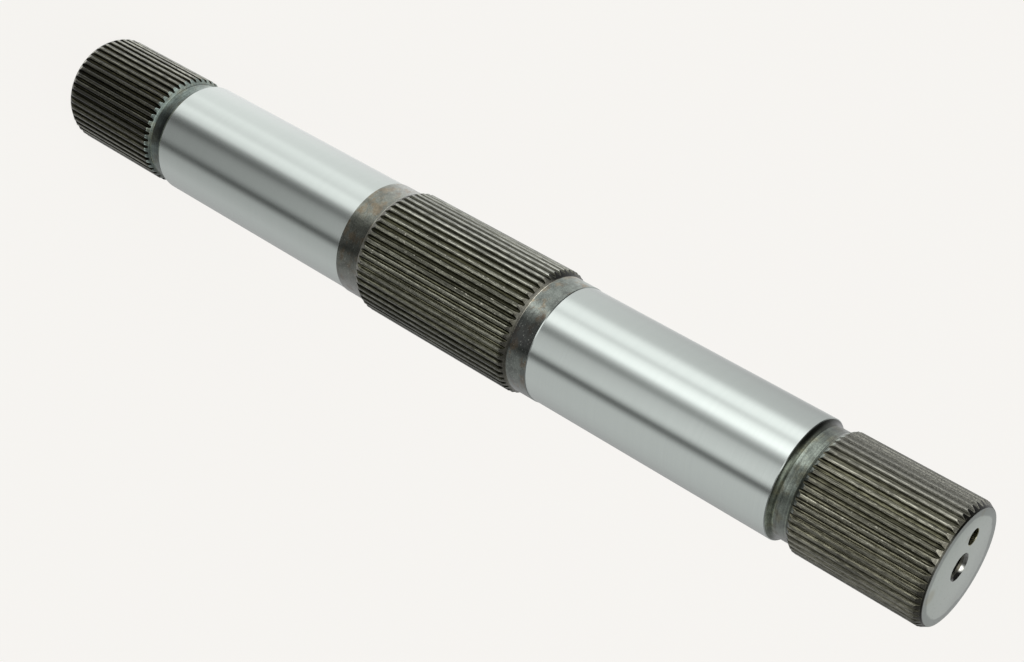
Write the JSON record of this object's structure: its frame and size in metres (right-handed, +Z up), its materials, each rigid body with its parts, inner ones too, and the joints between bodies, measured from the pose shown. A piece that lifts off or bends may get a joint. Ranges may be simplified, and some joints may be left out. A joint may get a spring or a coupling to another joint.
{
  "type": "splined hub shaft",
  "caption": "Solid round steel shaft with straight splines at its middle and both ends, ground bearing journals between them, and a tapped centre hole and a pin hole in each end face.",
  "frame": {"origin": "centre of the lower end face, on which the shaft stands", "axes": "+Z up the shaft's axis; -X through the pin holes beside the centre holes; the middle spline's upper collar is the shorter one"},
  "size_m": [0.0648, 0.0648, 0.55],
  "materials": {
    "shaft_steel": "ground bright on the journals, dark oxidised on the splines, collars and grooves"
  },
  "bodies": {
    "root": {"hub_shaft": "shaft_steel"}
  },
  "joints": []
}
